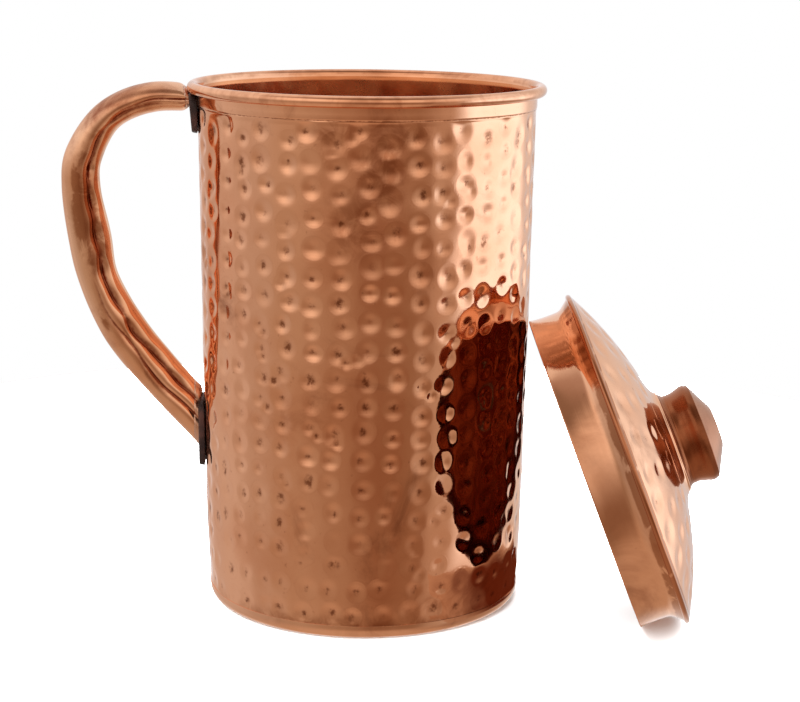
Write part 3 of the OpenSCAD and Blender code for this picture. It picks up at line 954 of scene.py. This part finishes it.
def build_skirt():
    """Ring that drops into the jug's mouth: flared edge, gently hollow band, flange under the dome."""
    mid = SKIRT_R - LID_SHEET / 2
    knots = [(mid + 0.38 * MM, LID_SHEET / 2), (mid + 0.12 * MM, 2.2 * MM), (mid - 0.02 * MM, 4.5 * MM),
             (mid - 0.02 * MM, 8 * MM), (mid + 0.25 * MM, FLANGE_Z), (mid + 1.6 * MM, FLANGE_Z + 2.0 * MM),
             (HEM_X - 0.2 * MM, HEM_Z - 0.25 * MM)]
    path = smooth_curve(knots, 8)
    run = np.gradient(path, axis=0)
    run /= np.linalg.norm(run, axis=1)[:, None]
    side = np.stack([run[:, 1], -run[:, 0]], -1) * LID_SHEET / 2
    lip = arc(path[0], LID_SHEET / 2, 180 + 8, 360 - 8, 7)
    section = [tuple(p) for p in path + side] + [tuple(p) for p in (path - side)[::-1]] + lip
    inner_rows = range(len(path), 2 * len(path) - 1)
    # Painted shade: the skirt's inner face gets the darkened copper.
    skirt = revolve("skirt_ring", section, SKIRT_COLUMNS, SPUN, None, SHADED_UNDERSIDE, inner_rows)
    # Painted shade: the skirt darkens towards its top, where it runs under the dome's hem.
    cloud_and_shade = 1.6 * np.clip((path[:, 0] - HEM_X + 2.6 * MM) / (1.2 * MM), 0, 1)
    cloud_and_shade = np.repeat(cloud_and_shade[:, None], SKIRT_COLUMNS, 1)
    add_wear_and_shade(skirt, np.zeros(1), cloud_and_shade, np.zeros(1))
    on_lid(skirt, "lid_skirt")


def build_knob():
    """Hollow knob: floor, waisted side and rounded shoulder."""
    profile = smooth_curve([
        (BOSS_R - 0.2 * MM, CROWN_Z), (KNOB_R - 0.85 * MM, CROWN_Z + 1.1 * MM),
        (KNOB_R - 1.25 * MM, CROWN_Z + 3.2 * MM), (KNOB_R - 0.75 * MM, CROWN_Z + 5.6 * MM),
        (KNOB_R, CROWN_Z + 8.3 * MM), (KNOB_R - 0.6 * MM, KNOB_SHOULDER_Z)], 10)
    groove = 0.16 * MM * np.exp(-((profile[:, 1] - CROWN_Z - 1.5 * MM) / (0.35 * MM)) ** 2)
    outside = [(r - g, z) for (r, z), g in zip(profile, groove)]
    inside = [(r - KNOB_SHEET, max(z, CROWN_Z + KNOB_SHEET)) for r, z in reversed(outside)]
    hole = RIVET_R + 0.02 * MM
    floor_low = [(hole, CROWN_Z + KNOB_SHEET), (hole, CROWN_Z)]
    # Painted shade: the knob's side gets the darkened copper.
    knob = revolve("knob_side", outside + inside + floor_low, KNOB_COLUMNS, SHADED_KNOB)
    on_lid(knob, "knob_shell")


def build_cap():
    """Cap of the knob: bevelled edge, cone and flat top."""
    edge = KNOB_R - 0.6 * MM
    flat_r = 6.6 * MM
    centre_r = 0.02 * MM
    cone = np.array([edge, KNOB_SHOULDER_Z])
    flat = np.array([flat_r, KNOB_TOP_Z])
    slope = (flat - cone) / np.linalg.norm(flat - cone)
    top = [(centre_r, KNOB_TOP_Z), (0.3 * MM, KNOB_TOP_Z), (flat_r - 0.8 * MM, KNOB_TOP_Z),
           (flat_r - 0.2 * MM, KNOB_TOP_Z - 0.03 * MM), tuple(flat - slope * 0.7 * MM)]
    side = [tuple(cone + slope * step * MM) for step in (6, 3, 1.2, 0.5, 0.15)] + [(edge, KNOB_SHOULDER_Z)]
    rim = edge - KNOB_SHEET - 0.02 * MM
    collar_z = KNOB_SHOULDER_Z - 2 * MM
    under_top_z = KNOB_TOP_Z - 1.2 * KNOB_SHEET
    under = [(rim, KNOB_SHOULDER_Z), (rim, collar_z), (rim - KNOB_SHEET, collar_z),
             (rim - KNOB_SHEET, KNOB_SHOULDER_Z), (flat_r, under_top_z), (centre_r, under_top_z)]
    # Painted shade: the cap gets a darkened copper.
    on_lid(revolve("knob_cap_disc", top + side + under, KNOB_COLUMNS, SHADED_CAP), "knob_cap")


def finish_cad_nodes():
    """Procedural materials for the CAD nodes that stay."""
    looks = {"rim_wire": STEEL, "knob_rivet": STEEL, "knob_washer": STEEL,
             "base_braze": BRAZE, "lid_braze": BRAZE}
    for node, material in looks.items():
        mesh = frame["nodes"][node].data
        mesh.materials.clear()
        mesh.materials.append(material)


build_wall()
build_pan()
build_saddle("upper_saddle_plate", "upper_saddle", UPPER_SADDLE)
build_saddle("lower_saddle_plate", "lower_saddle", LOWER_SADDLE)
build_handle()
build_dome()
build_skirt()
build_knob()
build_cap()
finish_cad_nodes()


# ---- studio

def build_floor():
    """Round pale table top. The copper doesn't mirror it, so the jug's foot stays as dim as the front."""
    count = 128
    behind = 0.08
    rings = [0.0005, 0.05, 0.1, 0.15, 0.2, 0.25, 0.3]
    points = [(r * math.cos(a), behind + r * math.sin(a), 0) for r in rings
              for a in np.linspace(0, 2 * math.pi, count, endpoint=False)]
    material, nodes, _ = shader_nodes("pale_floor")
    shader = nodes["Principled BSDF"]
    shader.inputs["Base Color"].default_value = (0.92, 0.92, 0.92, 1)
    shader.inputs["Roughness"].default_value = 0.9
    shader.inputs["Specular IOR Level"].default_value = 0.1
    floor = new_object("floor", points, grid_faces(len(rings), count, False, True), material)
    floor.visible_glossy = False


def build_card():
    """Glowing patch on the table between jug and lid: the lid's painted shadow, fading to a painted table
    colour away from it. Only the copper sees it.
    """
    count = 48
    above_table = 0.0002
    left_end, darkest_from, right_end = np.radians((-54, -22, 25))
    fades_from = 0.088
    rings = [0.0585, 0.07, 0.08, 0.09, 0.106]
    points = [(r * math.cos(a), r * math.sin(a), above_table) for r in rings
              for a in np.linspace(left_end, right_end, count)]
    material, nodes, links = shader_nodes("painted_shadow_card")
    shader = nodes["Principled BSDF"]
    place = nodes.new("ShaderNodeTexCoord").outputs["Object"]
    split = nodes.new("ShaderNodeSeparateXYZ")
    links.new(place, split.inputs[0])
    reach = nodes.new("ShaderNodeVectorMath")
    reach.operation = "LENGTH"
    links.new(place, reach.inputs[0])
    turn = add(nodes, links, split.outputs["Y"], split.outputs["X"], "ARCTAN2")
    to_right = remap(nodes, links, turn, left_end, darkest_from, 0, 1)
    near_jug = remap(nodes, links, reach.outputs["Value"], fades_from, rings[-1], 1, 0)
    painted_table_colour = (0.54, 0.38, 0.28)
    painted_shadow_colour = (0.13, 0.03, 0.013)
    colour = blend_colour(nodes, links, times(nodes, links, to_right, near_jug), painted_table_colour, painted_shadow_colour)
    links.new(colour, shader.inputs["Emission Color"])
    shader.inputs["Emission Strength"].default_value = 1.0
    shader.inputs["Base Color"].default_value = (0, 0, 0, 1)
    shader.inputs["Specular IOR Level"].default_value = 0.0
    card = new_object("card", points, grid_faces(len(rings), count, False, False), material)
    card.visible_camera = False
    card.visible_diffuse = False
    card.visible_shadow = False


def build_light():
    """Large soft box overhead that faces the jug. The copper doesn't mirror it."""
    place = Vector((0, 0.1, 1.1))
    aim = Vector((0, 0, 0.09))
    lamp = bpy.data.lights.new("top_box", "AREA")
    lamp.shape = "RECTANGLE"
    lamp.size, lamp.size_y = 1.6, 1.6
    lamp.energy = 60
    box = bpy.data.objects.new("top_box", lamp)
    box.location = place
    box.rotation_euler = (aim - place).to_track_quat("-Z", "Y").to_euler()
    bpy.context.scene.collection.objects.link(box)
    box.visible_glossy = False


# What the copper mirrors, as degrees round from the front (positive to the right) and a colour:
# towards the table, level, higher up and overhead
TABLE_STOPS = [
    (-180, 0.95, 0.93, 0.93), (-150, 0.80, 0.74, 0.70), (-115, 0.58, 0.48, 0.41), (-50, 0.60, 0.45, 0.34),
    (0, 0.64, 0.46, 0.33), (45, 0.60, 0.44, 0.33), (66, 0.50, 0.38, 0.29), (84, 0.46, 0.33, 0.25),
    (132, 0.50, 0.40, 0.33), (150, 0.75, 0.72, 0.72), (168, 1.05, 1.07, 1.10), (180, 0.95, 0.93, 0.93),
]
LEVEL_STOPS = [
    (-180, 0.95, 0.95, 1.00), (-160, 0.76, 0.72, 0.72), (-135, 0.64, 0.58, 0.55), (-108, 0.66, 0.60, 0.56),
    (-86, 0.56, 0.48, 0.42), (-50, 0.50, 0.39, 0.30), (-15, 0.41, 0.285, 0.20), (10, 0.32, 0.19, 0.12),
    (34, 0.34, 0.22, 0.145), (58, 0.57, 0.47, 0.39), (78, 1.60, 1.82, 2.04), (122, 1.60, 1.82, 2.04),
    (142, 0.85, 0.92, 1.00), (160, 0.72, 0.78, 0.85), (180, 0.95, 0.95, 1.00),
]
HIGH_STOPS = [
    (-180, 0.95, 0.95, 0.98), (-100, 1.00, 0.97, 0.95), (-72, 1.00, 0.93, 0.87), (-45, 1.18, 1.05, 0.93),
    (-20, 1.12, 0.97, 0.84), (-4, 0.90, 0.75, 0.63), (30, 1.02, 0.87, 0.74), (50, 1.05, 0.95, 0.85),
    (76, 1.14, 1.20, 1.26), (120, 1.08, 1.18, 1.26), (150, 0.85, 0.88, 0.90), (180, 0.95, 0.95, 0.98),
]
OVERHEAD_STOPS = [
    (-180, 0.95, 0.92, 0.92), (-120, 1.00, 0.95, 0.90), (-70, 0.54, 0.42, 0.36), (-20, 0.34, 0.25, 0.19),
    (40, 0.32, 0.24, 0.18), (80, 0.45, 0.38, 0.34), (130, 0.75, 0.73, 0.72), (180, 0.95, 0.92, 0.92),
]


STRAIGHT_DOWN = (0.64, 0.48, 0.36)
# Rise above the horizon, in degrees, over which one band gives way to the next
DOWN_TO_TABLE = (-64, -44)
TABLE_TO_LEVEL_FRONT = (-48, -21)
TABLE_TO_LEVEL_RIGHT = (-30, -12)
LEVEL_TO_HIGH = (-14, 22)
HIGH_TO_OVERHEAD = (36, 58)
# Share of the turn over which the front's table edge gives way to the right side's
FRONT_TO_RIGHT = (0.64, 0.7)


def colour_round(nodes, links, share, stops):
    """Colour that changes smoothly round the jug, share running from 0 to 1 over a full turn."""
    ramp = nodes.new("ShaderNodeValToRGB")
    ramp.color_ramp.interpolation = "EASE"
    points = ramp.color_ramp.elements
    while len(points) < len(stops):
        points.new(0.5)
    for point, (turn, *colour) in zip(points, stops):
        point.position = (turn + 180) / 360
        point.color = (*colour, 1)
    links.new(share, ramp.inputs["Fac"])
    return ramp.outputs["Color"]


def mirrored_surround(nodes, links):
    """Colour that the copper mirrors in each direction."""
    split = nodes.new("ShaderNodeSeparateXYZ")
    links.new(nodes.new("ShaderNodeTexCoord").outputs["Generated"], split.inputs[0])
    to_front = times(nodes, links, split.outputs["Y"], -1.0)
    turn = add(nodes, links, split.outputs["X"], to_front, "ARCTAN2")
    share = add(nodes, links, times(nodes, links, turn, 0.5 / math.pi), 0.5)
    rise = times(nodes, links, add(nodes, links, split.outputs["Z"], 0.0, "ARCSINE"), 180 / math.pi)

    def over(value, span, a, b):
        return blend_colour(nodes, links, remap(nodes, links, value, *span, 0, 1), a, b)

    table, level, high, overhead = (colour_round(nodes, links, share, stops) for stops in
                                    (TABLE_STOPS, LEVEL_STOPS, HIGH_STOPS, OVERHEAD_STOPS))
    table = over(rise, DOWN_TO_TABLE, STRAIGHT_DOWN, table)
    front = over(rise, TABLE_TO_LEVEL_FRONT, table, level)
    right = over(rise, TABLE_TO_LEVEL_RIGHT, table, level)
    low = over(share, FRONT_TO_RIGHT, front, right)
    return over(rise, HIGH_TO_OVERHEAD, over(rise, LEVEL_TO_HIGH, low, high), overhead)


def build_world():
    """White to the camera and to matt surfaces; in the copper, a bright right side and a dim warm front."""
    world = bpy.data.worlds.new("studio")
    bpy.context.scene.world = world
    world.use_nodes = True
    nodes, links = world.node_tree.nodes, world.node_tree.links
    seen = nodes["Background"]
    seen.inputs["Color"].default_value = (1, 1, 1, 1)
    mirrored = nodes.new("ShaderNodeBackground")
    links.new(mirrored_surround(nodes, links), mirrored.inputs["Color"])
    fill = nodes.new("ShaderNodeBackground")
    fill.inputs["Strength"].default_value = 6.0
    path = nodes.new("ShaderNodeLightPath")
    shown = mirrored.outputs[0]
    for ray, sky in (("Is Diffuse Ray", fill), ("Is Camera Ray", seen)):
        mix = nodes.new("ShaderNodeMixShader")
        links.new(path.outputs[ray], mix.inputs[0])
        links.new(shown, mix.inputs[1])
        links.new(sky.outputs[0], mix.inputs[2])
        shown = mix.outputs[0]
    links.new(shown, nodes["World Output"].inputs["Surface"])


def build_camera():
    """Camera in front and a little above the rim, looking down."""
    place = (0.0121, -0.671, 0.2315)
    look_down = 12.18
    roll = 0.65
    camera = bpy.data.cameras.new("camera")
    camera.lens = 88.5
    camera.sensor_width = 36
    camera.clip_start = 0.01
    eye = bpy.data.objects.new("camera", camera)
    bpy.context.scene.collection.objects.link(eye)
    eye.matrix_world = (Matrix.Translation(place) @ Matrix.Rotation(math.radians(90 - look_down), 4, "X")
                        @ Matrix.Rotation(math.radians(roll), 4, "Z"))
    bpy.context.scene.camera = eye


build_floor()
build_card()
build_world()
build_light()
build_camera()
bpy.context.scene.view_settings.view_transform = "Standard"
